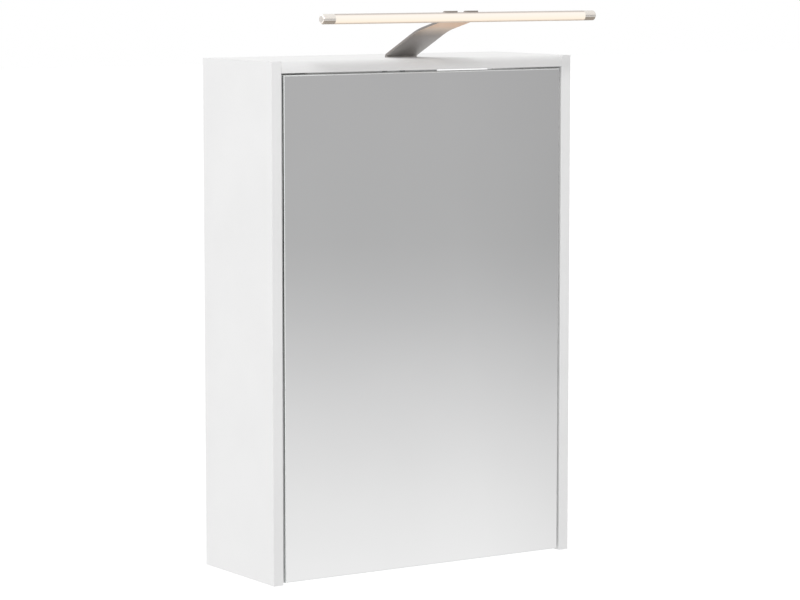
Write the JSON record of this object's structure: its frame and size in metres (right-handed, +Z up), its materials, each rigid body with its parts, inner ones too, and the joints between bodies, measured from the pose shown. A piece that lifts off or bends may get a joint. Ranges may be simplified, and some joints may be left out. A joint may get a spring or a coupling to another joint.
{
  "type": "bathroom mirror cabinet with lamp",
  "caption": "White wall cabinet with a full-size mirror door set between its sides, glass shelves, concealed hinges and a slim lamp bar on a bent steel arm over the door.",
  "frame": {"origin": "on the wall plane, below the middle of the cabinet, at the height of the side panels' lower edges", "axes": "+X across the front to the viewer's right, +Y from the front towards the wall, +Z up"},
  "size_m": [0.5, 0.2817, 0.7875],
  "materials": {
    "white_board": "smooth white foil on board",
    "dowel_wood": "plain beech",
    "zinc_steel": "zinc plated",
    "nickel_plate": "nickel plated",
    "shelf_glass": "clear with ground edges",
    "mirror_glass": "silvered, ground edge",
    "white_plastic": "fine satin",
    "grey_plastic": "satin",
    "brushed_steel": "brushed along the strip",
    "dark_clip": "dark grey satin",
    "bar_aluminium": "satin anodised",
    "polished_cap": "polished",
    "led_board": "white solder mask",
    "diffuser": "milky, lit warm white"
  },
  "bodies": {
    "cabinet": {"left_side_panel": "white_board", "right_side_panel": "white_board", "top_panel": "white_board", "bottom_panel": "white_board", "back_panel": "white_board", "wood_dowels": "dowel_wood", "cam_bolts": "zinc_steel", "cam_locks": "zinc_steel", "upper_glass_shelf": "shelf_glass", "lower_glass_shelf": "shelf_glass", "shelf_pins": "nickel_plate", "hanger_housings": "nickel_plate", "hanger_hooks": "zinc_steel", "hanger_screws": "zinc_steel", "hinge_arms": "nickel_plate", "mounting_plates": "nickel_plate", "plate_screws": "zinc_steel", "arm_screws": "zinc_steel", "magnetic_catches": "white_plastic", "catch_screws": "zinc_steel", "lamp_arm": "brushed_steel", "foot_screws": "zinc_steel", "bar_clips": "dark_clip", "bar_housing": "bar_aluminium", "led_strip": "led_board", "light_diffuser": "diffuser", "left_end_cap": "polished_cap", "right_end_cap": "polished_cap", "led_driver": "white_plastic", "driver_screws": "zinc_steel", "cable_grommet": "grey_plastic"},
    "door": {"door_board": "white_board", "mirror_glass": "mirror_glass", "hinge_cups": "nickel_plate", "hinge_pins": "zinc_steel", "cup_screws": "zinc_steel", "strike_plates": "zinc_steel", "strike_screws": "zinc_steel"}
  },
  "joints": [
    {"name": "door_swing", "type": "hinge", "parent": "cabinet", "child": "door", "pos_m": [0.213, -0.176, 0.3515], "axis": [0, 0, 1], "range_deg": [0, 95]}
  ]
}
